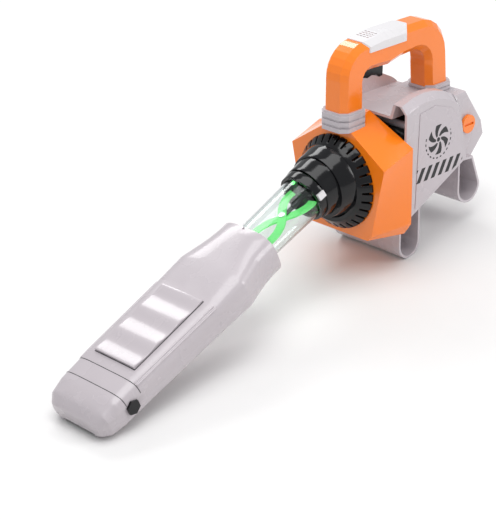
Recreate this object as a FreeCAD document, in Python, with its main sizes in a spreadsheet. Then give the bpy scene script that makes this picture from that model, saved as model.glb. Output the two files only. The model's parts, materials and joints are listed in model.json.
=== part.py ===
"""Toy leaf blower: a level motor head with a loop handle, a drooping clear tube and a flat blower nozzle.

Head frame: +Z up, the nozzle side toward -Y, origin at the centre of the round tube socket on the collar face.
Tube frame: local Z runs forward along the tube, local X is the head's X, local Y points up from the tube.
The finished part stands pitched on its front foot and nozzle tip, so both frames are placed by FRAME placements.
"""
import FreeCAD, Part
import math
import os
from FreeCAD import Placement, Rotation, Vector

X_AXIS = Vector(1, 0, 0)
Y_AXIS = Vector(0, 1, 0)
Z_AXIS = Vector(0, 0, 1)

DIMENSIONS = {
    "rest_pitch": 7.4,
    "shift_along": 79.38,
    "shift_up": 89.2,
    "tube_droop": 23.0,
    "tube_axis_height": 16.3,
    "wall": 2.4,
    "collar_depth": 38.0,
    "collar_hole_radius": 40.0,
    "ring_radius": 45.0,
    "ring_front_radius": 35.5,
    "ring_depth": 12.0,
    "flute_count": 30,
    "body_half_width": 50.0,
    "body_bevel": 6.5,
    "deck_height": 60.0,
    "handle_half_width": 14.0,
    "handle_chamfer": 5.5,
    "handle_wall": 2.2,
    "foot_half_width": 41.0,
    "foot_wall": 2.4,
    "housing_half_width": 31.0,
    "dial_radius": 9.0,
    "dial_depth": 3.0,
    "dial_stub_radius": 3.0,
    "door_width": 50.6,
    "door_thickness": 2.4,
    "door_pin_radius": 0.8,
    "trigger_width": 7.8,
    "vane_thickness": 1.6,
    "tube_back": 44.0,
    "tube_front": 127.0,
    "tube_back_radius": 21.2,
    "tube_front_radius": 19.6,
    "tube_wall": 1.6,
    "nozzle_back": 119.0,
    "nozzle_wall": 1.8,
    "nozzle_split": -2.0,
    "grip_back": 203.5,
    "grip_front": 290.0,
    "grip_half_width": 25.0,
    "plug_along": 313.0,
    "plug_radius": 7.0,
    "rod_radius": 2.4,
    "rod_back": 26.0,
    "rod_front": 64.0,
    "rivet_along": 78.0,
    "fan_height": 2.0,
    "fan_radius": 29.0,
    "fan_depth": 13.0,
    "fan_back": 58.0,
    "blade_height": 12.0,
    "blade_count": 9,
    "motor_radius": 12.0,
    "motor_length": 24.0,
    "shaft_length": 20.0,
    "shaft_radius": 1.2,
    "cell_radius": 7.2,
    "cell_length": 50.0,
    "screw_radius": 1.5,
}

doc = FreeCAD.newDocument("toy_leaf_blower")
sheet = doc.addObject("Spreadsheet::Sheet", "dims")
for row, (alias, value) in enumerate(DIMENSIONS.items(), start=1):
    sheet.set("A%d" % row, str(value))
    sheet.setAlias("A%d" % row, alias)
doc.recompute()

parts = []


def dim(alias):
    return float(getattr(sheet, alias))


HEAD = Placement(Vector(0, dim("shift_along"), dim("shift_up")), Rotation(X_AXIS, -dim("rest_pitch")))
TUBE_IN_HEAD = Placement(Vector(0, 0, dim("tube_axis_height")), Rotation(X_AXIS, 90 + dim("tube_droop")))
TUBE = HEAD.multiply(TUBE_IN_HEAD)
FORWARD = Rotation(X_AXIS, 90)  # local Z turned to the head's -Y
SIDEWAYS = Rotation(Y_AXIS, 90)  # local Z turned to +X


# ---------------------------------------------------------------- helpers
def in_head(x, y, z, rotation=None):
    return HEAD.multiply(Placement(Vector(x, y, z), rotation or Rotation()))


def in_tube(x, up, along, rotation=None):
    return TUBE.multiply(Placement(Vector(x, up, along), rotation or Rotation()))


def keep(obj, label):
    obj.Label = label
    parts.append(obj)
    return obj


def feature(label, shape, placement):
    obj = doc.addObject("Part::Feature", label)
    obj.Shape = shape
    obj.Placement = placement
    return keep(obj, label)


def bind(obj, **expressions):
    for prop, expression in expressions.items():
        obj.setExpression(prop, expression)
    return obj


def cylinder(name, placement, radius, height):
    obj = doc.addObject("Part::Cylinder", name)
    bind(obj, Radius=radius, Height=height)
    obj.Placement = placement
    return obj


def cone(name, placement, radius_back, radius_front, height):
    obj = doc.addObject("Part::Cone", name)
    bind(obj, Radius1=radius_back, Radius2=radius_front, Height=height)
    obj.Placement = placement
    return obj


def box(name, placement, length, width, height):
    obj = doc.addObject("Part::Box", name)
    bind(obj, Length=length, Width=width, Height=height)
    obj.Placement = placement
    return obj


def cut(label, base, tool):
    obj = doc.addObject("Part::Cut", label)
    obj.Base = base
    obj.Tool = tool
    return obj


def fuse(label, shapes):
    obj = doc.addObject("Part::MultiFuse", label)
    obj.Shapes = shapes
    return obj


def side_wire(points, arcs=None):
    """Closed wire in the head's YZ plane; arcs maps a point's index to the middle of the arc after it."""
    arcs = arcs or {}
    edges = []
    for index, (y, z) in enumerate(points):
        start = Vector(0, y, z)
        end = Vector(0, *points[(index + 1) % len(points)])
        if index in arcs:
            edges.append(Part.Arc(start, Vector(0, *arcs[index]), end).toShape())
        else:
            edges.append(Part.LineSegment(start, end).toShape())
    return Part.Wire(edges)


def side_prism(wire, x_from, x_to):
    face = Part.Face(wire)
    prism = face.extrude(Vector(x_to - x_from, 0, 0))
    prism.translate(Vector(x_from, 0, 0))
    return prism


def outline(points, arcs, rise=0.0):
    """Points of a closed profile, with each arc replaced by short straight runs."""
    result = []
    for index, (y, z) in enumerate(points):
        result.append((y, z + rise))
        if index in arcs:
            end = points[(index + 1) % len(points)]
            arc = Part.Arc(Vector(y, z, 0), Vector(*arcs[index], 0), Vector(*end, 0)).toShape()
            result += [(p.x, p.y + rise) for p in arc.discretize(7)[1:-1]]
    return result


def inset_outline(points, amount):
    """The same profile moved inward by amount, with mitred corners."""
    count = len(points)
    area = sum(points[k][0] * points[(k + 1) % count][1] - points[(k + 1) % count][0] * points[k][1] for k in range(count))
    turn = 1 if area > 0 else -1
    result = []
    for k in range(count):
        here = Vector(*points[k], 0)
        before = (here - Vector(*points[k - 1], 0)).normalize()
        after = (Vector(*points[(k + 1) % count], 0) - here).normalize()
        inward = [Vector(-way.y, way.x, 0) * turn for way in (before, after)]
        bisector = (inward[0] + inward[1]).normalize()
        moved = here + bisector * (amount / bisector.dot(inward[0]))
        result.append((moved.x, moved.y))
    return result


def bevelled_prism(points, half, bevel):
    """Profile extruded along X from -half to half, with both rims bevelled."""
    narrow = inset_outline(points, bevel)
    stations = [(-half, narrow), (bevel - half, points), (half - bevel, points), (half, narrow)]
    return solid_loft([polygon_wire([(x, y, z) for y, z in ring]) for x, ring in stations], True)


def shrunk(wire, amount):
    return Part.Face(wire).makeOffset2D(-amount, 0, False, False, False).OuterWire


def outline_edges(shape, x):
    return [e for e in shape.Edges if all(abs(v.X - x) < 1e-4 for v in e.Vertexes)]


def solid_loft(wires, ruled):
    body = Part.makeLoft(wires, True, ruled)
    if body.Volume < 0:
        body.reverse()
    return body


def polygon_wire(points):
    return Part.makePolygon([Vector(*p) for p in points] + [Vector(*points[0])])


def octagon(half_x, half_y, corner):
    return [
        (half_x, -half_y + corner), (half_x, half_y - corner), (half_x - corner, half_y),
        (-half_x + corner, half_y), (-half_x, half_y - corner), (-half_x, -half_y + corner),
        (-half_x + corner, -half_y), (half_x - corner, -half_y),
    ]


def placed(shape, placement):
    moved = shape.copy()
    moved.Placement = placement.multiply(shape.Placement)
    return moved


def tube_to_head(shape):
    return placed(shape, TUBE_IN_HEAD)


def rod_shape(start, direction, radius, length):
    return Part.makeCylinder(radius, length, Vector(*start), direction)


def halves(shape, gap=0.0):
    """Right (+X) and left (-X) parts of a shape, cut at the middle plane."""
    bounds = shape.BoundBox
    size = 2 * max(bounds.DiagonalLength, 10)
    right = Part.makeBox(size, size, size, Vector(gap, bounds.Center.y - size / 2, bounds.Center.z - size / 2))
    left = Part.makeBox(size, size, size, Vector(-size - gap, bounds.Center.y - size / 2, bounds.Center.z - size / 2))
    return shape.common(right), shape.common(left)


# ---------------------------------------------------------------- front collar
FRONT_OUTLINE = [(12, 54), (57, 24), (43, -44), (38, -49)]
REAR_OUTLINE = [(5, 60), (58, 36), (58, -38), (50, -50)]


def collar_wire(outline, y, inset=0.0):
    scale = 1 - inset / 52.0
    right = [(x * scale, y, z * scale) for x, z in outline]
    left = [(-x, y_, z) for x, y_, z in reversed(right)]
    return polygon_wire(right + left)


def collar_solid(inset, front, rear):
    sections = [collar_wire(FRONT_OUTLINE, front, inset), collar_wire(REAR_OUTLINE, rear, inset)]
    return solid_loft(sections, True)


def make_collar():
    depth = dim("collar_depth")
    outer = collar_solid(0.0, 0.0, depth)
    inner = collar_solid(dim("wall") + 0.6, 0.0, depth)
    room = inner.common(Part.makeBox(200, depth - 2 * dim("wall"), 200, Vector(-100, dim("wall"), -100)))
    body_mouth = body_solid(BODY_POINTS, BODY_ARCS, dim("body_half_width")).common(inner)
    hole = rod_shape((0, 5, 0), -Y_AXIS, dim("collar_hole_radius"), 10)
    feature("front_collar", outer.cut([room, body_mouth, hole]), HEAD)
    return outer


# ---------------------------------------------------------------- body shells
BODY_POINTS = [(26, -47), (44, -45), (133, -3), (121, 51), (110, 66), (26, 66)]
BODY_ARCS = {3: (117, 60), 4: (72, 78)}
BODY_INNER_POINTS = [(18, -44.4), (43.5, -42.4), (130.2, -1.4), (118.5, 50), (108.5, 63.4), (18, 63.4)]
BODY_INNER_ARCS = {3: (114.6, 58.4), 4: (70, 75.2)}
BODY_POSTS = [(54, 48), (74, -21), (116, 40)]
UNDERSIDE_START = (44, -45)
UNDERSIDE_ANGLE = math.degrees(math.atan2(42, 89))
LABEL_POINTS = [(52, -30), (119, 1.5), (112.5, 43), (101, 57), (78, 65), (56, 62)]


def under(x, along, inward):
    """Frame on the sloping underside: local Y runs up the slope to the rear, local Z points into the body."""
    slope = Placement(Vector(0, *UNDERSIDE_START), Rotation(X_AXIS, UNDERSIDE_ANGLE))
    return slope.multiply(Placement(Vector(x, along, inward), Rotation()))


def deck_cutter(inset):
    height = dim("deck_height") - inset
    wide = 30 + inset
    top = 41 + inset
    wire = polygon_wire([(-wide, 0, height), (wide, 0, height), (top, 0, 95), (-top, 0, 95)])
    return Part.Face(wire).extrude(Vector(0, 200, 0))


def body_solid(points, arcs, half):
    return bevelled_prism(outline(points, arcs), half, dim("body_bevel"))


def vent_slots():
    """Three short slots on each rear shoulder."""
    slots = []
    for side in (-1, 1):
        for index in range(3):
            slot = Part.makeBox(9, 1.6, 16, Vector(0, 109 + 4.4 * index, 50 - 6.0 * index))
            slot.translate(Vector(40 if side > 0 else -49, 0, 0))
            slots.append(slot)
    return slots


def screw_cavity(start, direction, head_radius, head_depth, reach):
    head = rod_shape(start, direction, head_radius, head_depth)
    shank = rod_shape(start, direction, dim("screw_radius") + 0.05, reach)
    return head.fuse(shank)


def screw_solid(start, direction, head_radius, length):
    """Pan-head screw with a cross recess; start is the middle of the outer face of its head."""
    origin = Vector(*start)
    head = Part.makeCylinder(head_radius, 1.8, origin, direction)
    shank = Part.makeCylinder(dim("screw_radius"), length, origin, direction)
    turn = Rotation(Z_AXIS, direction)
    bars = [
        placed(Part.makeBox(2.8, 0.7, 1.0, Vector(-1.4, -0.35, -0.01)),
               Placement(origin, turn.multiply(Rotation(Z_AXIS, angle))))
        for angle in (0, 90)
    ]
    return head.fuse(shank).cut(bars)


def make_body():
    half = dim("body_half_width")
    wall = dim("wall")
    outer = body_solid(BODY_POINTS, BODY_ARCS, half).cut(deck_cutter(0.0))
    inner = body_solid(BODY_INNER_POINTS, BODY_INNER_ARCS, half - wall).cut(deck_cutter(wall))
    inside_collar = collar_solid(wall + 1.4, 0.0, dim("collar_depth"))
    beyond_collar = Part.makeBox(200, dim("collar_depth"), 200, Vector(-100, 0, -100)).cut(inside_collar)
    posts = [rod_shape((-half + 1, y, z), X_AXIS, 3.6, 2 * half - 2) for y, z in BODY_POSTS]
    cavities = [screw_cavity((-half - 1, y, z), X_AXIS, 2.9, half - 11, half + 10) for y, z in BODY_POSTS]
    door_gap = placed(Part.makeBox(51.2, 31.0, 6, Vector(-25.6, 58.0, -2)), under(0, 0, 0))
    tab_gap = placed(Part.makeBox(12.8, 9.0, 6, Vector(-6.4, 50.1, -2)), under(0, 0, 0))
    pin_hole = placed(rod_shape((-27.6, 87.3, 1.2), X_AXIS, 0.82, 55.2), under(0, 0, 0))
    shell = outer.cut(inner).fuse(posts).common(outer)
    shell = shell.cut(cavities + vent_slots() + [beyond_collar, door_gap, tab_gap, pin_hole])
    right, left = halves(shell)
    feature("body_shell_right", right, HEAD)
    feature("body_shell_left", left, HEAD)
    labels = side_prism(side_wire(LABEL_POINTS), 0, 0.6)
    feature("side_label_right", labels, HEAD.multiply(Placement(Vector(half + 0.01, 0, 0), Rotation())))
    holes = [rod_shape((-1, y, z), X_AXIS, 3.4, 3) for y, z in BODY_POSTS]
    feature("side_label_left", labels.cut(holes), HEAD.multiply(Placement(Vector(-half - 0.61, 0, 0), Rotation())))
    return outer


# ---------------------------------------------------------------- rear housing and its dials
HOUSING_POINTS = [(118, 57), (146, 57), (171, 22), (175, 7), (155, -14), (129, -7)]
DIAL_PLACE = (148, 24)


def make_rear_housing(body_outer):
    half = dim("housing_half_width")
    wall = dim("wall")
    outer = side_prism(side_wire(HOUSING_POINTS), -half, half)
    outer = outer.makeFillet(2.0, outline_edges(outer, half) + outline_edges(outer, -half))
    inner = side_prism(shrunk(side_wire(HOUSING_POINTS), wall), -half + wall, half - wall)
    slope = Placement(Vector(0, 146, 57), Rotation(X_AXIS, -math.degrees(math.atan2(35, 25))))
    louvres = [placed(Part.makeBox(44, 2.4, 12, Vector(-22, 7 + 6.0 * index, -6)), slope) for index in range(5)]
    dial_hole = rod_shape((-half - 2, *DIAL_PLACE), X_AXIS, 3.1, 2 * half + 4)
    feature("rear_housing", outer.cut([inner, body_outer, dial_hole] + louvres), HEAD)
    return outer


def make_dials():
    for side, name in ((1, "dial_right"), (-1, "dial_left")):
        turned = in_head(side * (dim("housing_half_width") + 0.3), *DIAL_PLACE, Rotation(Y_AXIS, 90 * side))
        disc = cylinder(name + "_disc", turned, "dims.dial_radius", "dims.dial_depth")
        stub = cylinder(name + "_stub", turned.multiply(Placement(Vector(0, 0, -4.5), Rotation())),
                        "dims.dial_stub_radius", "4.6 mm")
        slot = box(name + "_slot", turned.multiply(Placement(Vector(-1.2, -6.5, 1.6), Rotation())),
                   "2.4 mm", "13 mm", "2 mm")
        keep(cut(name, fuse(name + "_solid", [disc, stub]), slot), name)


# ---------------------------------------------------------------- battery compartment
CELL_PLACES = [(66, 11), (81, 11), (74, 24.3), (89, 24.3)]
TRAY_POINTS = [(57, 2.7), (90, 2.7), (98.6, 17), (98.6, 33), (65, 33), (57, 17)]
TRAY_INNER_POINTS = [(58.2, 0), (88.8, 0), (97.4, 17), (97.4, 31.8), (66, 31.8), (58.2, 17)]
HINGE_ALONG = 87.3
HINGE_INWARD = 1.2


def body_sketch(body, role, name):
    sketch = body.newObject("Sketcher::SketchObject", name)
    plane = next(p for p in body.Origin.OriginFeatures if getattr(p, "Role", "") == role)
    sketch.AttachmentSupport = [(plane, "")]
    sketch.MapMode = "FlatFace"
    return sketch


def sketch_polygon(sketch, points):
    for index, start in enumerate(points):
        end = points[(index + 1) % len(points)]
        sketch.addGeometry(Part.LineSegment(Vector(*start, 0), Vector(*end, 0)))


def sketch_circle(sketch, x, y, radius):
    sketch.addGeometry(Part.Circle(Vector(x, y, 0), Z_AXIS, radius))


def pad(body, sketch, length, name, midplane=False):
    block = body.newObject("PartDesign::Pad", name)
    block.Profile = sketch
    block.setExpression("Length", length)
    block.Midplane = midplane
    doc.recompute()
    return block


def through_pocket(body, sketch, name):
    hole = body.newObject("PartDesign::Pocket", name)
    hole.Profile = sketch
    hole.Type = "ThroughAll"
    hole.Midplane = True
    doc.recompute()
    return hole


def make_battery_door():
    body = doc.addObject("PartDesign::Body", "battery_door")
    profile = body_sketch(body, "YZ_Plane", "door_profile")
    corners = [(HINGE_ALONG, 0), (58.3, 0), (58.3, 2 * HINGE_INWARD), (HINGE_ALONG, 2 * HINGE_INWARD)]
    for start, end in zip(corners, corners[1:]):
        profile.addGeometry(Part.LineSegment(Vector(*start, 0), Vector(*end, 0)))
    knuckle = Vector(HINGE_ALONG + HINGE_INWARD, HINGE_INWARD, 0)
    profile.addGeometry(Part.Arc(Vector(*corners[0], 0), knuckle, Vector(*corners[3], 0)))
    pad(body, profile, "dims.door_width", "door_plate", midplane=True)
    tab = body_sketch(body, "XY_Plane", "door_tab")
    sketch_polygon(tab, [(-6, 50.5), (6, 50.5), (6, 59), (-6, 59)])
    pad(body, tab, "dims.door_thickness", "door_tab_plate")
    screw_hole = body_sketch(body, "XY_Plane", "door_screw_place")
    sketch_circle(screw_hole, 0, 54, 1.7)
    through_pocket(body, screw_hole, "door_screw_hole")
    bore = body_sketch(body, "YZ_Plane", "door_pin_place")
    sketch_circle(bore, HINGE_ALONG, HINGE_INWARD, 0.85)
    through_pocket(body, bore, "door_pin_bore")
    body.Placement = HEAD.multiply(under(0, 0, 0))
    keep(body, "battery_door")
    pin_place = HEAD.multiply(under(-27.5, HINGE_ALONG, HINGE_INWARD)).multiply(Placement(Vector(), SIDEWAYS))
    keep(cylinder("door_pin", pin_place, "dims.door_pin_radius", "55 mm"), "door_pin")
    screw = screw_solid((0, 54, -1.82), Z_AXIS, 3.0, 8.4)
    feature("door_screw", screw, HEAD.multiply(under(0, 0, 0)))


def make_batteries():
    frame = HEAD.multiply(under(0, 0, 0))
    length = dim("cell_length")
    cells = []
    contacts = []
    for index, (along, inward) in enumerate(CELL_PLACES):
        way = X_AXIS if index % 2 else -X_AXIS
        start = way * (-length / 2)
        can = rod_shape((start.x, along, inward), way, dim("cell_radius"), length - 1.5)
        tip = rod_shape((start.x, along, inward), way, 2.6, length)
        cells.append(can.fuse(tip))
        for side in (-1, 1):
            contacts.append(rod_shape((side * (length / 2 + 0.1), along, inward), X_AXIS * side, 3.6, 1.0))
    feature("battery_cells", Part.makeCompound(cells), frame)
    feature("battery_contacts", Part.makeCompound(contacts), frame)
    outer = side_prism(side_wire(TRAY_POINTS), -27.6, 27.6)
    inner = side_prism(side_wire(TRAY_INNER_POINTS), -26.3, 26.3)
    boss = rod_shape((0, 54, 2.7), Z_AXIS, 3.8, 7.3)
    bore = rod_shape((0, 54, 2.0), Z_AXIS, 2.3, 6.5)
    feature("battery_tray", outer.fuse(boss).cut([inner, bore]), frame)


# ---------------------------------------------------------------- handle
HANDLE_POINTS = [
    (-7, 44), (-6, 98), (18, 128), (46, 131), (98, 131), (139, 96), (143, 44),
    (113, 44), (110, 86), (94, 105), (76, 104), (58, 100), (40, 101), (33, 101), (23, 90), (23, 44),
]
HANDLE_ARCS = {1: (2, 119), 4: (127, 122), 8: (106, 100), 13: (25.5, 98.5)}
HANDLE_POSTS = [(8, 82), (128, 82), (88, 117)]
TRIGGER_PIVOT = (30.5, 108.5)
BEZELS = {"front_handle_bezel": (8, 51, 69), "rear_handle_bezel": (128, 55, 66)}


def handle_prism(half, rise=0.0, inset=0.0):
    points = inset_outline(outline(HANDLE_POINTS, HANDLE_ARCS, rise), inset)
    return bevelled_prism(points, half, dim("handle_chamfer") - 0.4 * inset)


def make_handle(neighbours):
    half = dim("handle_half_width")
    wall = dim("handle_wall")
    outer = handle_prism(half)
    core = handle_prism(half - wall, inset=wall)
    below = Part.makeBox(80, 300, 40, Vector(-40, -100, 13))
    hexagon = [(-9, 22), (-15.5, 28), (-15.5, 76), (-6, 86), (6, 86), (15.5, 76), (15.5, 28), (9, 22)]
    prism = Part.Face(polygon_wire([(x, y, 119) for x, y in hexagon])).extrude(Vector(0, 0, 25))
    slots = [
        Part.makeBox(3.0, 1.4, 30, Vector(-7.2 + 3.9 * column, 32 + 3.6 * row, 115))
        for row in range(4) for column in range(4)
    ]
    panel = handle_prism(half + 0.9, rise=1.0).common(prism).cut([outer] + slots)
    feature("handle_top_panel", panel, HEAD)
    posts = [rod_shape((1 - half, y, z), X_AXIS, 3.4, 2 * half - 2) for y, z in HANDLE_POSTS]
    posts += [rod_shape((side * 5, *TRIGGER_PIVOT), X_AXIS * side, 3.0, half - 6) for side in (-1, 1)]
    pin_hole = rod_shape((-11.8, *TRIGGER_PIVOT), X_AXIS, dim("screw_radius") + 0.02, 23.6)
    cavities = [screw_cavity((-half - 1, y, z), X_AXIS, 2.6, half - 5, half + 9) for y, z in HANDLE_POSTS]
    trigger_slot = Part.makeBox(8.6, 33.5, 14, Vector(-4.3, 26.5, 92))
    shell = outer.cut(core).fuse(posts).cut(cavities + slots + [pin_hole, trigger_slot, below] + neighbours)
    right, left = halves(shell)
    feature("handle_shell_right", right, HEAD)
    feature("handle_shell_left", left, HEAD)
    for name, (centre, low, high) in BEZELS.items():
        rib = (high - low) / 3
        layers = []
        for index in range(6):
            size = 15.9 if index % 2 else 16.9
            height = rib * (0.34 if index % 2 else 0.66)
            base = low + rib * (index // 2) + (rib * 0.66 if index % 2 else 0)
            corners = [(x, y + centre, base) for x, y in octagon(size, size + 0.4, 6.5)]
            layers.append(Part.Face(polygon_wire(corners)).extrude(Vector(0, 0, height)))
        ring = layers[0].multiFuse(layers[1:]).removeSplitter()
        hollow = Part.Face(polygon_wire([(x, y + centre, low - 5) for x, y in octagon(10.5, 11, 4.5)]))
        ring = ring.cut([hollow.extrude(Vector(0, 0, 40)), outer] + neighbours)
        feature(name, ring, HEAD)


TRIGGER_POINTS = [
    (27.5, 112), (27.5, 97), (31, 92), (36, 90.6), (42, 92), (48, 91), (52, 88), (56.5, 88.5),
    (57, 96), (56.3, 105), (48, 105), (46, 108), (38, 108), (34, 112),
]
PLUNGER_ALONG = 42.5
SPRING_ALONG = 52.5


def make_trigger_group():
    body = doc.addObject("PartDesign::Body", "trigger")
    profile = body_sketch(body, "YZ_Plane", "trigger_profile")
    sketch_polygon(profile, TRIGGER_POINTS)
    pad(body, profile, "dims.trigger_width", "trigger_blade", midplane=True)
    bore = body_sketch(body, "YZ_Plane", "trigger_pivot")
    sketch_circle(bore, *TRIGGER_PIVOT, 1.55)
    through_pocket(body, bore, "trigger_bore")
    body.Placement = HEAD
    keep(body, "trigger")
    pin = cylinder("trigger_pin", in_head(-11.7, *TRIGGER_PIVOT, SIDEWAYS), "dims.screw_radius", "23.4 mm")
    keep(pin, "trigger_pin")
    coils = [Part.makeTorus(2.2, 0.4, Vector(0, SPRING_ALONG, 105.5 + 1.6 * index)) for index in range(5)]
    feature("trigger_spring", Part.makeCompound(coils), HEAD)
    carrier = Part.makeBox(23, 27, 1.6, Vector(-11.5, 36, 112.6))
    carrier = carrier.cut(rod_shape((0, PLUNGER_ALONG, 110), Z_AXIS, 1.4, 8))
    feature("switch_carrier", carrier, HEAD)
    case = Part.makeBox(6.4, 13, 5.2, Vector(-3.2, 36.5, 114.25))
    feature("microswitch", case.cut(rod_shape((0, PLUNGER_ALONG, 114), Z_AXIS, 1.4, 4.4)), HEAD)
    plunger = cylinder("switch_plunger", in_head(0, PLUNGER_ALONG, 108.3), "1.0 mm", "7.4 mm")
    keep(plunger, "switch_plunger")
    magnet = rod_shape((0, 38.5, 119.8), Z_AXIS, 5.0, 2.6)
    basket = rod_shape((0, 38.5, 122.4), Z_AXIS, 8.6, 3.0)
    feature("speaker", basket.fuse(magnet).cut(rod_shape((0, 38.5, 124.2), Z_AXIS, 7.6, 2)), HEAD)


# ---------------------------------------------------------------- feet
FRONT_FOOT = {"left": 41.5, "right": 70.5, "centre": -68.5, "top": [(70.5, -30), (41.5, -43)]}
REAR_FOOT = {"left": 125.5, "right": 158.5, "centre": -36.0, "top": [(147, -6), (125.5, -4)]}


def foot_wire(foot):
    radius = (foot["right"] - foot["left"]) / 2
    middle = (foot["right"] + foot["left"]) / 2
    points = [(foot["left"], foot["centre"]), (foot["right"], foot["centre"])] + foot["top"]
    return side_wire(points, {0: (middle, foot["centre"] - radius)})


def make_feet(neighbours):
    half = dim("foot_half_width")
    ground = placed(Part.makeBox(400, 900, 60, Vector(-200, -450, -60)), HEAD.inverse())
    for name, foot in (("front_foot", FRONT_FOOT), ("rear_foot", REAR_FOOT)):
        outer = side_prism(foot_wire(foot), -half, half)
        inner = side_prism(shrunk(foot_wire(foot), dim("foot_wall")), -half - 1, half + 1)
        web = Part.makeBox(2.2, 60, 60, Vector(-1.1, foot["left"] - 5, foot["centre"] - 20)).common(outer)
        shell = outer.cut(inner).fuse(web).cut(neighbours + [ground])
        feature(name, max(shell.Solids, key=lambda s: s.Volume), HEAD)
    return ground


# ---------------------------------------------------------------- ribbed ring, stepped cone and clear tube
# Each run of the cone or its bore: back centre y and z, tilt in degrees, length, back radius, front radius.
CONE_TIERS = [(-10.6, 3.7, 7.5, 16.0, 34.9, 30.4), (-23.5, 3.3, 15.2, 17.0, 28.0, 25.6), (-39.0, -0.25, 23.0, 9.0, 24.8, 24.0)]
BORE_RUNS = [(-4.0, 1.6, 5.0, 21.5, 31.4, 25.4), (-24.0, 2.6, 15.0, 15.0, 25.6, 21.8)]


def tilted_cone(y, z, tilt, length, back_radius, front_radius):
    forward = Vector(0, -math.cos(math.radians(tilt)), -math.sin(math.radians(tilt)))
    return Part.makeCone(back_radius, front_radius, length, Vector(0, y, z), forward)


def make_ring():
    body = doc.addObject("PartDesign::Body", "ribbed_ring")
    profile = body_sketch(body, "XZ_Plane", "ring_profile")
    back, front, depth = dim("ring_radius"), dim("ring_front_radius"), dim("ring_depth")
    sketch_polygon(profile, [(31.5, 0), (back, 0), (back, 1.8), (front, depth), (31.5, depth)])
    turn = body.newObject("PartDesign::Revolution", "ring_turn")
    turn.Profile = profile
    turn.ReferenceAxis = (profile, ["V_Axis"])
    turn.Angle = 360
    doc.recompute()
    flute = body_sketch(body, "XY_Plane", "ring_flute")
    sketch_polygon(flute, [(38.6, -0.9), (46.5, -1.3), (46.5, 1.3), (38.6, 0.9)])
    groove = through_pocket(body, flute, "ring_groove")
    pattern = body.newObject("PartDesign::PolarPattern", "ring_flutes")
    pattern.Originals = [groove]
    pattern.Axis = (profile, ["V_Axis"])
    pattern.Angle = 360
    pattern.Occurrences = int(dim("flute_count"))
    body.Tip = pattern
    doc.recompute()
    body.Placement = in_head(0, -0.02, 0, FORWARD)
    keep(body, "ribbed_ring")


def make_cone():
    tiers = [tilted_cone(*tier) for tier in CONE_TIERS]
    outer = tiers[0].multiFuse(tiers[1:])
    bores = [tilted_cone(*run) for run in BORE_RUNS]
    socket = tube_to_head(rod_shape((0, 0, 35.9), Z_AXIS, 21.4, 40))
    ring_space = Part.makeBox(200, 60, 200, Vector(-100, -12.04, -100))
    shell = outer.cut(bores + [socket, ring_space])
    feature("stepped_cone", max(shell.Solids, key=lambda s: s.Volume), HEAD)
    tab = Part.makeBox(6, 3.0, 8, Vector(-3, 23.6, 42.5))
    turned = tube_to_head(placed(tab, Placement(Vector(), Rotation(Z_AXIS, -70))))
    feature("tube_lock_tab", max(turned.cut(outer).Solids, key=lambda s: s.Volume), HEAD)


def make_tube():
    back = in_tube(0, 0, dim("tube_back"))
    length = "dims.tube_front - dims.tube_back"
    outer = cone("tube_outer", back, "dims.tube_back_radius", "dims.tube_front_radius", length)
    inner = cone("tube_inner", back, "dims.tube_back_radius - dims.tube_wall",
                 "dims.tube_front_radius - dims.tube_wall", length)
    keep(cut("clear_tube", outer, inner), "clear_tube")


# ---------------------------------------------------------------- spinning vanes inside the tube
VANE_A = [(-12.3, 49), (-12.6, 57), (-8, 68), (0, 78), (7.5, 88), (11.4, 99), (11.8, 112)]
VANE_B = [(11.2, 49), (11.6, 57), (7.5, 68), (0, 78), (-8, 88), (-11.8, 99), (-12.2, 112)]


def ribbon(path, low, thickness):
    """Flat curved strip in the tube frame's XZ plane, eight millimetres wide, extruded upward from low."""
    spine = Part.BSplineCurve()
    spine.interpolate([Vector(x, 0, s) for x, s in path])
    first, last = spine.FirstParameter, spine.LastParameter
    sides = {1: [], -1: []}
    for step in range(13):
        parameter = first + (last - first) * step / 12
        point = spine.value(parameter)
        across = spine.tangent(parameter)[0].cross(Y_AXIS)
        for side in sides:
            sides[side].append(point + across * (4.0 * side))
    edges = []
    for side in (1, -1):
        curve = Part.BSplineCurve()
        curve.interpolate(sides[side])
        edges.append(curve.toShape())
    edges.append(Part.makeLine(sides[1][0], sides[-1][0]))
    edges.append(Part.makeLine(sides[1][-1], sides[-1][-1]))
    face = Part.Face(Part.Wire(Part.__sortEdges__(edges)))
    strip = face.extrude(Vector(0, thickness, 0))
    strip.translate(Vector(0, low, 0))
    return strip.cut(rod_shape((0, -10, dim("rivet_along")), Y_AXIS, 1.6, 20))


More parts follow.
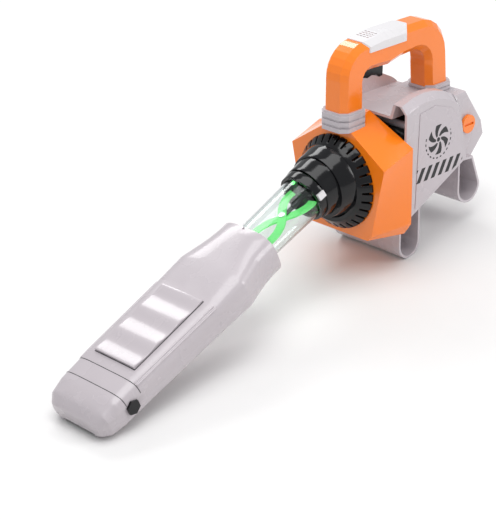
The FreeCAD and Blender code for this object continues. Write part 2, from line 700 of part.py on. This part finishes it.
def make_rotor():
    thick = dim("vane_thickness")
    feature("vane_a", ribbon(VANE_A, 0.6, thick), TUBE)
    feature("vane_b", ribbon(VANE_B, -0.6 - thick, thick), TUBE)
    along = dim("rivet_along")
    rivet = rod_shape((0, -2.9, along), Y_AXIS, 1.5, 5.8)
    caps = [rod_shape((0, level, along), Y_AXIS, 3.0, 0.8) for level in (2.25, -3.05)]
    feature("vane_rivet", rivet.multiFuse(caps), TUBE)
    back, front, radius = dim("rod_back"), dim("rod_front"), dim("rod_radius")
    rod = rod_shape((0, 0, back), Z_AXIS, radius, front - back)
    collars = [rod_shape((0, 0, s), Z_AXIS, 3.6, 1.2) for s in (33.4, 41.9)]
    tongue = Part.makeBox(4.4, 1.1, 20, Vector(-2.2, -0.55, front - 1))
    hole = rod_shape((0, -5, along), Y_AXIS, 1.6, 10)
    feature("rotor_rod", rod.multiFuse(collars + [tongue]).cut(hole), TUBE)
    ring = rod_shape((0, 0, 36.3), Z_AXIS, 21.2, 4.4).cut(rod_shape((0, 0, 36), Z_AXIS, 18.8, 6))
    arms = [
        placed(Part.makeBox(17, 2.6, 4.4, Vector(3, -1.3, 36.3)), Placement(Vector(), Rotation(Z_AXIS, 90 + 120 * k)))
        for k in range(3)
    ]
    hub = rod_shape((0, 0, 35), Z_AXIS, 5.0, 6.5)
    bearing = ring.multiFuse(arms + [hub]).cut(rod_shape((0, 0, 30), Z_AXIS, radius + 0.06, 20))
    feature("rotor_bearing", bearing, TUBE)
    board = rod_shape((0, 0, 41.3), Z_AXIS, 21.2, 1.2).cut(rod_shape((0, 0, 41), Z_AXIS, 12.5, 3))
    feature("led_board", board, TUBE)
    leds = []
    for k in range(3):
        angle = math.radians(30 + 120 * k)
        x, up = 16.4 * math.cos(angle), 16.4 * math.sin(angle)
        base = rod_shape((x, up, 42.55), Z_AXIS, 1.5, 1.4)
        leds.append(base.fuse(Part.makeSphere(1.5, Vector(x, up, 43.95))))
    feature("green_leds", Part.makeCompound(leds), TUBE)


# ---------------------------------------------------------------- flat nozzle
NOZZLE_SECTIONS = [
    (119, 32, 23, 23, 3.0), (128, 32.3, 22.9, 22.7, 3.0), (140, 33.5, 22.5, 22, 3.2), (168, 41.0, 21, 19, 4),
    (200, 40, 18, 16, 5), (245, 39.2, 17.4, 15.4, 5), (290, 38.5, 17, 15, 5), (325, 37.5, 15, 15.5, 5),
    (339, 36, 11.5, 15, 4.5), (345, 32, 6.5, 13, 4), (347, 29, 4, 12, 3.5),
]
NOZZLE_POSTS = [(sign * 30, along) for sign in (-1, 1) for along in (228, 283)]


def superellipse(along, half, top, bottom, power):
    points = []
    count = 48
    for index in range(count):
        angle = 2 * math.pi * (index + 0.5) / count
        c, s = math.cos(angle), math.sin(angle)
        height = top if s > 0 else bottom
        reach = ((abs(c) / half) ** power + (abs(s) / height) ** power) ** (-1 / power)
        points.append(Vector(reach * c, reach * s, along))
    curve = Part.BSplineCurve()
    curve.interpolate(Points=points, PeriodicFlag=True)
    return Part.Wire([curve.toShape()])


def nozzle_solid(inset, back_shift, front_shift):
    sections = []
    for index, (along, half, top, bottom, power) in enumerate(NOZZLE_SECTIONS):
        if index == 0:
            along += back_shift
        if index >= len(NOZZLE_SECTIONS) - 2:
            along -= front_shift
        sections.append(superellipse(along, half - inset, top - inset, bottom - inset, power))
    return solid_loft(sections, True)


def hex_prism(x, along, radius, length):
    corners = []
    for k in range(6):
        angle = math.radians(60 * k)
        corners.append((x, radius * math.cos(angle), along + radius * math.sin(angle)))
    return Part.Face(polygon_wire(corners)).extrude(Vector(length, 0, 0))


def make_nozzle(ground):
    wall = dim("nozzle_wall")
    outer = nozzle_solid(0.0, 0.0, 0.0)
    inner = nozzle_solid(wall, 2.4, wall)
    mouth = rod_shape((0, 0, 115), Z_AXIS, dim("tube_front_radius") + 0.35, 12)
    outlet = Part.makeBox(40, 11.2, 14, Vector(-20, -20, 337.5))
    notches = [Part.makeBox(3, 3, 4, Vector(x, up, 118)) for x, up in ((-1.5, 21), (-1.5, -24))]
    posts = [rod_shape((x, -17, s), Y_AXIS, 3.2, 34).common(outer) for x, s in NOZZLE_POSTS]
    cavities = [screw_cavity((x, -20, s), Y_AXIS, 2.8, 10, 26) for x, s in NOZZLE_POSTS]
    plug_holes = [rod_shape((-45, 0, dim("plug_along")), X_AXIS, 3.05, 90)]
    floor = placed(ground, TUBE_IN_HEAD.inverse())
    shell = outer.cut(inner).fuse(posts).cut([mouth, outlet, floor] + notches + cavities + plug_holes)
    split = dim("nozzle_split")
    above = Part.makeBox(120, 60, 300, Vector(-60, split, 100))
    below = Part.makeBox(120, 60, 300, Vector(-60, split - 60, 100))
    feature("nozzle_upper", shell.common(above), TUBE)
    feature("nozzle_lower", shell.common(below), TUBE)
    screws = [screw_solid((x, -11.8, s), Y_AXIS, 2.6, 17) for x, s in NOZZLE_POSTS]
    feature("nozzle_screws", Part.makeCompound(screws), TUBE)
    grip_back, grip_front = dim("grip_back"), dim("grip_front")
    crest = Part.BSplineCurve()
    crest.interpolate([
        Vector(0, 18.9 + 0.7 * math.cos(6 * math.pi * k / 24), grip_back + (grip_front - grip_back) * k / 24)
        for k in range(25)
    ])
    low_back, low_front = Vector(0, 12, grip_back), Vector(0, 12, grip_front)
    edges = [
        crest.toShape(), Part.makeLine(crest.EndPoint, low_front),
        Part.makeLine(low_front, low_back), Part.makeLine(low_back, crest.StartPoint),
    ]
    grip = side_prism(Part.Wire(edges), -dim("grip_half_width"), dim("grip_half_width")).cut(outer)
    feature("nozzle_grip", max(grip.Solids, key=lambda s: s.Volume), TUBE)
    plugs = []
    for side in (-1, 1):
        start = 35.0 if side > 0 else -40.0
        head = hex_prism(start, dim("plug_along"), dim("plug_radius"), 5).cut(outer)
        stem = rod_shape((side * 33, 0, dim("plug_along")), X_AXIS * side, 3.0, 6)
        plugs.append(max(head.Solids, key=lambda s: s.Volume).fuse(stem))
    feature("nozzle_plugs", Part.makeCompound(plugs), TUBE)


# ---------------------------------------------------------------- fan, motor and electrics
def make_fan():
    fan_place = in_head(0, 0, dim("fan_height"), FORWARD)
    duct = doc.addObject("PartDesign::Body", "fan_duct")
    profile = body_sketch(duct, "XZ_Plane", "duct_profile")
    sketch_polygon(profile, [
        (25.6, 4.5), (24.0, 4.5), (24.0, -10), (31.4, -41), (31.4, -60), (33, -60), (33, -40.4), (25.6, -9.2),
        (25.6, -4.4), (43, -4.4), (43, -2.8), (25.6, -2.8),
    ])
    turn = duct.newObject("PartDesign::Revolution", "duct_turn")
    turn.Profile = profile
    turn.ReferenceAxis = (profile, ["V_Axis"])
    turn.Angle = 360
    doc.recompute()
    duct.Placement = fan_place
    keep(duct, "fan_duct")
    wheel = doc.addObject("PartDesign::Body", "impeller")
    plate = body_sketch(wheel, "XY_Plane", "impeller_plate")
    sketch_circle(plate, 0, 0, dim("fan_radius"))
    pad(wheel, plate, "1.4 mm", "impeller_disc")
    hub = body_sketch(wheel, "XY_Plane", "impeller_hub")
    sketch_circle(hub, 0, 0, 7)
    pad(wheel, hub, "dims.fan_depth", "impeller_hub_pad")
    blade = body_sketch(wheel, "XY_Plane", "impeller_blade")
    sketch_polygon(blade, [(6, -0.8), (28.4, -6.0), (28.8, -4.4), (6, 0.8)])
    vane = pad(wheel, blade, "dims.blade_height", "impeller_blade_pad")
    pattern = wheel.newObject("PartDesign::PolarPattern", "impeller_blades")
    pattern.Originals = [vane]
    pattern.Axis = (plate, ["N_Axis"])
    pattern.Angle = 360
    pattern.Occurrences = int(dim("blade_count"))
    wheel.Tip = pattern
    doc.recompute()
    bore = body_sketch(wheel, "XY_Plane", "impeller_bore")
    sketch_circle(bore, 0, 0, dim("shaft_radius"))
    wheel.Tip = through_pocket(wheel, bore, "impeller_shaft_hole")
    wheel.Placement = fan_place.multiply(Placement(Vector(0, 0, -dim("fan_back")), Rotation()))
    keep(wheel, "impeller")
    behind = fan_place.multiply(Placement(Vector(0, 0, -63), Rotation()))
    keep(cylinder("motor_shaft", behind.multiply(Placement(Vector(0, 0, 0.3), Rotation())),
                  "dims.shaft_radius", "dims.shaft_length"), "motor_shaft")
    ring = rod_shape((0, 0, 0), Z_AXIS, 33, 2.9).cut(rod_shape((0, 0, -1), Z_AXIS, 30.5, 5))
    spokes = [
        placed(Part.makeBox(22, 3, 2.9, Vector(10, -1.5, 0)), Placement(Vector(), Rotation(Z_AXIS, 30 + 120 * k)))
        for k in range(3)
    ]
    seat = rod_shape((0, 0, 0), Z_AXIS, 13, 2.9)
    holes = [rod_shape((x, 0, -1), Z_AXIS, 1.25, 6) for x in (-8, 8)]
    mount = ring.multiFuse(spokes + [seat]).cut([rod_shape((0, 0, -1), Z_AXIS, 3.4, 6)] + holes)
    feature("motor_mount", mount, behind)
    length, radius = dim("motor_length"), dim("motor_radius")
    can = rod_shape((0, 0, -length), Z_AXIS, radius, length - 0.02)
    flats = [Part.makeBox(40, 10, 60, Vector(-20, side * 10 - 5 + side * 4.6, -50)) for side in (-1, 1)]
    bolt_holes = [rod_shape((x, 0, -4), Z_AXIS, 1.25, 6) for x in (-8, 8)]
    shaft_room = rod_shape((0, 0, -3), Z_AXIS, 3.0, 6)
    feature("motor_can", can.cut(flats + bolt_holes + [shaft_room]), behind)
    bolts = []
    for x in (-8, 8):
        bolts.append(rod_shape((x, 0, 2.95), Z_AXIS, 2.2, 1.2).fuse(rod_shape((x, 0, -3.5), Z_AXIS, 1.2, 7)))
    feature("motor_bolts", Part.makeCompound(bolts), behind)


def make_circuit_board():
    board = Part.makeBox(1.6, 34, 32, Vector(38, 64, 12))
    chips = [
        Part.makeBox(2.2, 9, 9, Vector(35.8, 74, 22)), Part.makeBox(5, 6, 5, Vector(33, 88, 34)),
        rod_shape((38, 70, 38), -X_AXIS, 3.0, 7), rod_shape((38, 92, 18), -X_AXIS, 2.5, 6),
    ]
    feature("circuit_board", board.multiFuse(chips), HEAD)


def make_screws():
    body_half, handle_half = dim("body_half_width"), dim("handle_half_width")
    screws = [screw_solid((-13.9, y, z), X_AXIS, 2.7, 22) for y, z in BODY_POSTS]
    screws += [screw_solid((-7.9, y, z), X_AXIS, 2.4, 15) for y, z in HANDLE_POSTS]
    feature("shell_screws", Part.makeCompound(screws), HEAD)


# ---------------------------------------------------------------- build, check and write
collar_outer = make_collar()
body_outer = make_body()
housing_outer = make_rear_housing(body_outer)
outers = [collar_outer, body_outer, housing_outer]
make_dials()
make_battery_door()
make_batteries()
make_handle(outers)
make_trigger_group()
ground = make_feet(outers)
make_ring()
make_cone()
make_tube()
make_rotor()
make_nozzle(ground)
make_fan()
make_circuit_board()
make_screws()
doc.recompute()

os.makedirs("parts", exist_ok=True)
for obj in doc.Objects:
    if "Invalid" in obj.State or "Error" in obj.State:
        raise RuntimeError("%s did not build: %s" % (obj.Name, obj.State))
corners = []
for obj in parts:
    if obj.Shape.isNull() or not obj.Shape.isValid():
        raise RuntimeError("%s has an unsound shape" % obj.Label)
    obj.Shape.exportStep("parts/%s.step" % obj.Label)
    points = obj.Shape.tessellate(0.3)[0]
    low = [min(point[axis] for point in points) for axis in range(3)]
    high = [max(point[axis] for point in points) for axis in range(3)]
    corners += [low, high]
    print("%-20s %d solids %8.0f mm3  x %6.1f %6.1f  y %6.1f %6.1f  z %6.1f %6.1f" % (
        obj.Label, len(obj.Shape.Solids), obj.Shape.Volume, low[0], high[0], low[1], high[1], low[2], high[2]))
for axis, name in enumerate("xyz"):
    print("whole %s %.2f %.2f" % (name, min(c[axis] for c in corners), max(c[axis] for c in corners)))
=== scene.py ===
"""Studio scene of the toy bubble machine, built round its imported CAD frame.

Lengths are metres in the row frame. The nozzle's own pieces are placed in the tube frame: x across,
n up from the tube's axis and s forward along it, in millimetres.
"""
import json
import math

import bpy
from mathutils import Matrix, Vector


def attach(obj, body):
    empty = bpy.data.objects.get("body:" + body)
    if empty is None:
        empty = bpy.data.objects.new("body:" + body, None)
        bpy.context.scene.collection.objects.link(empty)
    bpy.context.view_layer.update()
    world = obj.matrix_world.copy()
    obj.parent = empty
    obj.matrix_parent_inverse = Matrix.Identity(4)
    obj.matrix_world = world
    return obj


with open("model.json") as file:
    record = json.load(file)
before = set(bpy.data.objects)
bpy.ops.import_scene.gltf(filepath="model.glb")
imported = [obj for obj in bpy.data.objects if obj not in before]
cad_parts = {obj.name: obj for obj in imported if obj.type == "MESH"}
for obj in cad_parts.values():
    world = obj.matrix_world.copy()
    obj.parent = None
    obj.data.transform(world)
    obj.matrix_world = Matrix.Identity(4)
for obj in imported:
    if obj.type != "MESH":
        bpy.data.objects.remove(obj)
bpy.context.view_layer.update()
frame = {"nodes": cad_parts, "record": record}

MM = 0.001

# ---------------------------------------------------------------- camera
CAMERA_PLACE = Vector((1.0318, -0.9543, 0.8448))
CAMERA_AIM = Vector((-0.0751, 0.0259, 0.0058))
CAMERA_ROLL = math.radians(6.99)
CAMERA_LENS = 123.8

camera_data = bpy.data.cameras.new("studio_camera")
camera_data.sensor_fit = "VERTICAL"
camera_data.sensor_height = 36
camera_data.lens = CAMERA_LENS
camera_data.clip_end = 20
camera = bpy.data.objects.new("studio_camera", camera_data)
bpy.context.scene.collection.objects.link(camera)
look = (CAMERA_AIM - CAMERA_PLACE).normalized()
level_right = look.cross(Vector((0, 0, 1))).normalized()
level_up = level_right.cross(look)
cam_right = level_right * math.cos(CAMERA_ROLL) - level_up * math.sin(CAMERA_ROLL)
cam_up = level_up * math.cos(CAMERA_ROLL) + level_right * math.sin(CAMERA_ROLL)
turn = Matrix((cam_right, cam_up, -look)).transposed().to_4x4()
camera.matrix_world = Matrix.Translation(CAMERA_PLACE) @ turn
bpy.context.scene.camera = camera


# ---------------------------------------------------------------- materials
def new_material(name):
    material = bpy.data.materials.new(name)
    material.use_nodes = True
    tree = material.node_tree
    shader = tree.nodes["Principled BSDF"]
    return material, tree, shader


def object_noise(tree, scale, detail=3.0):
    """Noise on the object's own coordinates, with about scale cells to the metre."""
    place = tree.nodes.new("ShaderNodeTexCoord")
    noise = tree.nodes.new("ShaderNodeTexNoise")
    noise.inputs["Scale"].default_value = scale
    noise.inputs["Detail"].default_value = detail
    tree.links.new(place.outputs["Object"], noise.inputs["Vector"])
    return noise


def add_finish(tree, shader, rough, spread, grain, grain_height, strength):
    """Roughness that drifts by spread, and a fine moulded grain in the bump."""
    drift = object_noise(tree, 38, 4.0)
    to_rough = tree.nodes.new("ShaderNodeMapRange")
    to_rough.inputs["From Min"].default_value = 0.3
    to_rough.inputs["From Max"].default_value = 0.7
    to_rough.inputs["To Min"].default_value = max(0.02, rough - spread)
    to_rough.inputs["To Max"].default_value = rough + spread
    tree.links.new(drift.outputs["Fac"], to_rough.inputs["Value"])
    tree.links.new(to_rough.outputs["Result"], shader.inputs["Roughness"])
    fine = object_noise(tree, grain, 2.0)
    bump = tree.nodes.new("ShaderNodeBump")
    bump.inputs["Strength"].default_value = strength
    bump.inputs["Distance"].default_value = grain_height
    tree.links.new(fine.outputs["Fac"], bump.inputs["Height"])
    tree.links.new(bump.outputs["Normal"], shader.inputs["Normal"])


def tint(tree, shader, colour, shade):
    """A base colour that drifts a little between colour and a darker shade of it."""
    drift = object_noise(tree, 14, 3.0)
    ramp = tree.nodes.new("ShaderNodeValToRGB")
    ramp.color_ramp.elements[0].position = 0.3
    ramp.color_ramp.elements[0].color = [c * shade for c in colour] + [1]
    ramp.color_ramp.elements[1].position = 0.7
    ramp.color_ramp.elements[1].color = list(colour) + [1]
    tree.links.new(drift.outputs["Fac"], ramp.inputs["Fac"])
    tree.links.new(ramp.outputs["Color"], shader.inputs["Base Color"])


def plastic(name, colour, rough, coat=0.3, shade=0.95, spread=0.04, grain=700, strength=0.12, gloss=0.5):
    material, tree, shader = new_material(name)
    tint(tree, shader, colour, shade)
    add_finish(tree, shader, rough, spread, grain, 0.00012, strength)
    shader.inputs["Specular IOR Level"].default_value = gloss
    shader.inputs["Coat Weight"].default_value = coat
    shader.inputs["Coat Roughness"].default_value = 0.06
    return material


def metal(name, colour, rough):
    material, tree, shader = new_material(name)
    tint(tree, shader, colour, 0.88)
    add_finish(tree, shader, rough, 0.06, 1500, 0.00006, 0.15)
    shader.inputs["Metallic"].default_value = 1.0
    return material


def clear(name, colour, rough):
    material, tree, shader = new_material(name)
    tint(tree, shader, colour, 0.985)
    add_finish(tree, shader, rough, 0.015, 160, 0.0001, 0.06)
    shader.inputs["Transmission Weight"].default_value = 1.0
    shader.inputs["IOR"].default_value = 1.42
    return material


def glowing(name, colour, strength):
    """Translucent tinted plastic with emission; on the vanes, which are no lamp, the glow is painted light."""
    material, tree, shader = new_material(name)
    tint(tree, shader, colour, 0.8)
    add_finish(tree, shader, 0.25, 0.05, 500, 0.0001, 0.1)
    shader.inputs["Transmission Weight"].default_value = 0.25
    # painted glow: emission colour and strength laid on the material
    shader.inputs["Emission Color"].default_value = list(colour) + [1]
    shader.inputs["Emission Strength"].default_value = strength
    return material


LILAC = (0.54, 0.49, 0.515)
HEAD_TILT = math.radians(7.4)
HEAD_ORIGIN = (0, 0.07938, 0.0892)


def math_node(tree, operation, first, second=None):
    """A maths node on two links or numbers, and its output."""
    node = tree.nodes.new("ShaderNodeMath")
    node.operation = operation
    for socket, value in zip(node.inputs, (first, second)):
        if value is None:
            continue
        if isinstance(value, (int, float)):
            socket.default_value = value
        else:
            tree.links.new(value, socket)
    return node.outputs["Value"]


def label_material():
    """The side label: black on lilac-grey, with a six-bladed turbine swirl, a dashed arc and slanting stripes."""
    material, tree, shader = new_material("label_print")
    place = tree.nodes.new("ShaderNodeTexCoord")
    swirl_along, swirl_up = 0.0827, 0.0307
    axes = (
        ((0, math.cos(HEAD_TILT), -math.sin(HEAD_TILT)), swirl_along),
        ((0, math.sin(HEAD_TILT), math.cos(HEAD_TILT)), swirl_up),
    )
    shift = tree.nodes.new("ShaderNodeVectorMath")
    shift.operation = "SUBTRACT"
    shift.inputs[1].default_value = HEAD_ORIGIN
    tree.links.new(place.outputs["Object"], shift.inputs[0])
    along_up = []
    for axis, offset in axes:
        dot = tree.nodes.new("ShaderNodeVectorMath")
        dot.operation = "DOT_PRODUCT"
        dot.inputs[1].default_value = axis
        tree.links.new(shift.outputs["Vector"], dot.inputs[0])
        along_up.append(math_node(tree, "SUBTRACT", dot.outputs["Value"], offset))
    along, up = along_up
    radius = math_node(tree, "SQRT", math_node(
        tree, "ADD", math_node(tree, "MULTIPLY", along, along), math_node(tree, "MULTIPLY", up, up)))
    angle = math_node(tree, "ARCTAN2", up, along)

    def between(value, low, high):
        return math_node(tree, "MULTIPLY", math_node(tree, "GREATER_THAN", value, low),
                         math_node(tree, "LESS_THAN", value, high))

    turns = math_node(tree, "MULTIPLY", angle, 6)
    sweep = math_node(tree, "ADD", turns, math_node(tree, "MULTIPLY", radius, 330))
    blades = math_node(tree, "GREATER_THAN", math_node(tree, "SINE", sweep), -0.15)
    swirl = math_node(tree, "MULTIPLY", blades, between(radius, 0.0035, 0.0145))
    hub = math_node(tree, "LESS_THAN", radius, 0.0022)
    beat = math_node(tree, "SINE", math_node(tree, "MULTIPLY", angle, 22))
    dashes = math_node(tree, "GREATER_THAN", beat, 0)
    arc = math_node(tree, "MULTIPLY", math_node(tree, "MULTIPLY", dashes, between(radius, 0.0172, 0.0186)),
                    math_node(tree, "LESS_THAN", up, 0.006))
    slant = math_node(tree, "SUBTRACT", along, math_node(tree, "MULTIPLY", up, 0.55))
    wave = math_node(tree, "SINE", math_node(tree, "MULTIPLY", slant, 620))
    bars = math_node(tree, "GREATER_THAN", wave, -0.1)
    stripes = math_node(tree, "MULTIPLY", bars, between(up, -0.036, -0.0225))
    turbine = math_node(tree, "MAXIMUM", swirl, hub)
    ink = math_node(tree, "MAXIMUM", turbine, math_node(tree, "MAXIMUM", arc, stripes))
    ramp = tree.nodes.new("ShaderNodeValToRGB")
    ramp.color_ramp.elements[0].color = (*LILAC, 1)
    ramp.color_ramp.elements[1].color = (0.012, 0.012, 0.014, 1)
    tree.links.new(ink, ramp.inputs["Fac"])
    tree.links.new(ramp.outputs["Color"], shader.inputs["Base Color"])
    add_finish(tree, shader, 0.28, 0.04, 420, 0.00008, 0.1)
    shader.inputs["Specular IOR Level"].default_value = 0.35
    return material


FINISHES = {
    "orange_plastic": plastic("orange_plastic", (1.0, 0.225, 0.008), 0.22, coat=0.5),
    "grey_plastic": plastic("grey_plastic", LILAC, 0.27, coat=0.35),
    "black_plastic": plastic("black_plastic", (0.004, 0.004, 0.005), 0.14, coat=0.15, shade=0.8, gloss=0.3),
    "dark_plastic": plastic("dark_plastic", (0.03, 0.03, 0.033), 0.4, coat=0.1),
    "inner_plastic": plastic("inner_plastic", (0.35, 0.34, 0.34), 0.45, coat=0.0),
    "silver_grey_plastic": plastic("silver_grey_plastic", (0.76, 0.74, 0.75), 0.25, coat=0.4),
    "clear_plastic": clear("clear_plastic", (0.88, 0.93, 0.92), 0.03),
    # painted glow: emission makes the green vanes glow, though they are no lamp
    "green_vane": glowing("green_vane", (0.16, 0.75, 0.2), 0.5),
    "green_led": glowing("green_led", (0.2, 0.95, 0.25), 2.0),
    "steel": metal("steel", (0.72, 0.72, 0.73), 0.25),
    "nickel": metal("nickel", (0.75, 0.72, 0.66), 0.25),
    "cell_wrap": plastic("cell_wrap", (0.1, 0.12, 0.13), 0.3, coat=0.4),
    "board": plastic("board", (0.02, 0.14, 0.05), 0.45, coat=0.2),
    "label_print": label_material(),
}

# ---------------------------------------------------------------- the CAD nodes
EDGE_ROUND = {"orange_plastic": 0.0009, "grey_plastic": 0.0007, "black_plastic": 0.0004}
for row in frame["record"]["subparts"]:
    node = frame["nodes"][row["node"]]
    slot = row["material_slot"]
    node.data.materials.clear()
    node.data.materials.append(FINISHES[slot])
    weld = node.modifiers.new("weld", "WELD")
    weld.merge_threshold = 0.000004
    bevel = node.modifiers.new("soft_edges", "BEVEL")
    bevel.limit_method = "ANGLE"
    bevel.angle_limit = math.radians(32)
    bevel.width = EDGE_ROUND.get(slot, 0.0002)
    bevel.segments = 3
    bevel.harden_normals = True
    bevel.use_clamp_overlap = True

# ---------------------------------------------------------------- the nozzle's rails, and dark beads of painted shade for its grooves
TUBE_ORIGIN = Vector((0, 0.08148, 0.10536))
TUBE_TILT = math.radians(15.6)
FORWARD = Vector((0, -math.cos(TUBE_TILT), -math.sin(TUBE_TILT)))
UPWARD = Vector((0, -math.sin(TUBE_TILT), math.cos(TUBE_TILT)))

# place along the tube, half width, height above the axis, roundness of the section
NOZZLE_TOP = [
    (119, 32, 23, 3), (128, 32.3, 22.9, 3), (140, 33.5, 22.5, 3.2), (168, 41, 21, 4), (200, 40, 18, 5),
    (245, 39.2, 17.4, 5), (290, 38.5, 17, 5), (325, 37.5, 15, 5), (339, 36, 11.5, 4.5), (345, 32, 6.5, 4),
]


def tube_point(x, n, s):
    """A point of the tube frame, in millimetres, in the row frame."""
    return TUBE_ORIGIN + Vector((x * MM, 0, 0)) + UPWARD * (n * MM) + FORWARD * (s * MM)


def nozzle_section(s):
    """Half width, height and roundness of the nozzle's upper half at s."""
    for low, high in zip(NOZZLE_TOP, NOZZLE_TOP[1:]):
        if s <= high[0]:
            t = (s - low[0]) / (high[0] - low[0])
            return [a + (b - a) * t for a, b in zip(low[1:], high[1:])]
    return list(NOZZLE_TOP[-1][1:])


def on_nozzle(share, s, lift=0.0):
    """The point on the nozzle's upper half at s, with share from 0 at the right side to 1 at the left."""
    half, top, power = nozzle_section(s)
    angle = math.pi * share
    cosine, sine = math.cos(angle), math.sin(angle)
    x = math.copysign(abs(cosine) ** (2 / power), cosine) * (half + lift)
    return tube_point(x, sine ** (2 / power) * (top + lift), s)


def above_grip_edge(x, s, lift=0.0):
    """The point on the nozzle's upper half that is x across, in the row frame."""
    half, top, power = nozzle_section(s)
    return tube_point(x, top * (1 - abs(x / half) ** power) ** (1 / power) + lift, s)


def line_piece(name, points, radius, material, closed=False):
    """A thin smooth bead along points, riding on the chassis."""
    data = bpy.data.curves.new(name, "CURVE")
    data.dimensions = "3D"
    spline = data.splines.new("NURBS")
    spline.points.add(len(points) - 1)
    for knot, point in zip(spline.points, points):
        knot.co = (*point, 1)
    spline.use_cyclic_u = closed
    spline.order_u = 3
    spline.use_endpoint_u = not closed
    data.bevel_depth = radius * MM
    data.bevel_resolution = 4
    data.use_fill_caps = True
    data.materials.append(material)
    piece = bpy.data.objects.new(name, data)
    bpy.context.scene.collection.objects.link(piece)
    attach(piece, "chassis")
    return piece


def spread(low, high, count):
    return [low + (high - low) * i / (count - 1) for i in range(count)]


RAIL_FROM, RAIL_TO = 202, 300
for side, flip in (("right", False), ("left", True)):
    for place, share in (("upper", 0.235), ("lower", 0.165)):
        share = 1 - share if flip else share
        line_piece(f"nozzle_rail_{place}_{side}",
                   [on_nozzle(share, s, -0.2) for s in spread(RAIL_FROM, RAIL_TO, 14)],
                   0.9, FINISHES["grey_plastic"])
# painted shade: dark beads laid across the nozzle stand in for the shade inside its two grooves
for name, s in (("front", 318), ("back", 301)):
    line_piece(f"nozzle_groove_painted_shade_{name}", [on_nozzle(share, s, 0.02) for share in spread(0.02, 0.98, 40)],
               0.32, FINISHES["dark_plastic"])

GRIP_HALF, GRIP_BACK, GRIP_FRONT = 25.3, 203.2, 290.3
outline = [(x, GRIP_BACK) for x in spread(-GRIP_HALF, GRIP_HALF, 12)]
outline += [(GRIP_HALF, s) for s in spread(GRIP_BACK, GRIP_FRONT, 18)]
outline += [(x, GRIP_FRONT) for x in spread(GRIP_HALF, -GRIP_HALF, 12)]
outline += [(-GRIP_HALF, s) for s in spread(GRIP_FRONT, GRIP_BACK, 18)]
line_piece("nozzle_grip_outline", [above_grip_edge(x, s, 0.05) for x, s in outline],
           0.38, FINISHES["dark_plastic"], closed=True)

# ---------------------------------------------------------------- floor, world and lights
FLOOR_HALF = 3.0
floor_mesh = bpy.data.meshes.new("studio_floor")
floor_mesh.from_pydata([(-FLOOR_HALF, -FLOOR_HALF, 0), (FLOOR_HALF, -FLOOR_HALF, 0),
                        (FLOOR_HALF, FLOOR_HALF, 0), (-FLOOR_HALF, FLOOR_HALF, 0)], [], [(0, 1, 2, 3)])
floor = bpy.data.objects.new("studio_floor", floor_mesh)
floor.location.z = -0.0003
bpy.context.scene.collection.objects.link(floor)
floor_mesh.materials.append(plastic("pale_floor", (0.86, 0.85, 0.84), 0.6, coat=0.0, shade=0.985, grain=90))

world = bpy.data.worlds.new("studio_world")
world.use_nodes = True
world.node_tree.nodes["Background"].inputs["Color"].default_value = (0.95, 0.97, 1.0, 1)
world.node_tree.nodes["Background"].inputs["Strength"].default_value = 0.55
bpy.context.scene.world = world


def area_light(name, place, aim, size, watts, colour=(1, 1, 1)):
    data = bpy.data.lights.new(name, "AREA")
    data.shape = "RECTANGLE"
    data.size, data.size_y = size
    data.energy = watts
    data.color = colour
    lamp = bpy.data.objects.new(name, data)
    lamp.location = place
    lamp.rotation_euler = (Vector(aim) - Vector(place)).to_track_quat("-Z", "Y").to_euler()
    bpy.context.scene.collection.objects.link(lamp)


CENTRE = (0, 0, 0.1)
area_light("key_light", (0.1, -0.1, 1.5), CENTRE, (1.3, 1.1), 14)
area_light("side_light", (1.3, 0.9, 0.8), CENTRE, (0.5, 0.9), 7)
area_light("back_light", (-1.2, 0.7, 1.2), CENTRE, (1.0, 0.5), 9)

bpy.context.scene.view_settings.view_transform = "Standard"
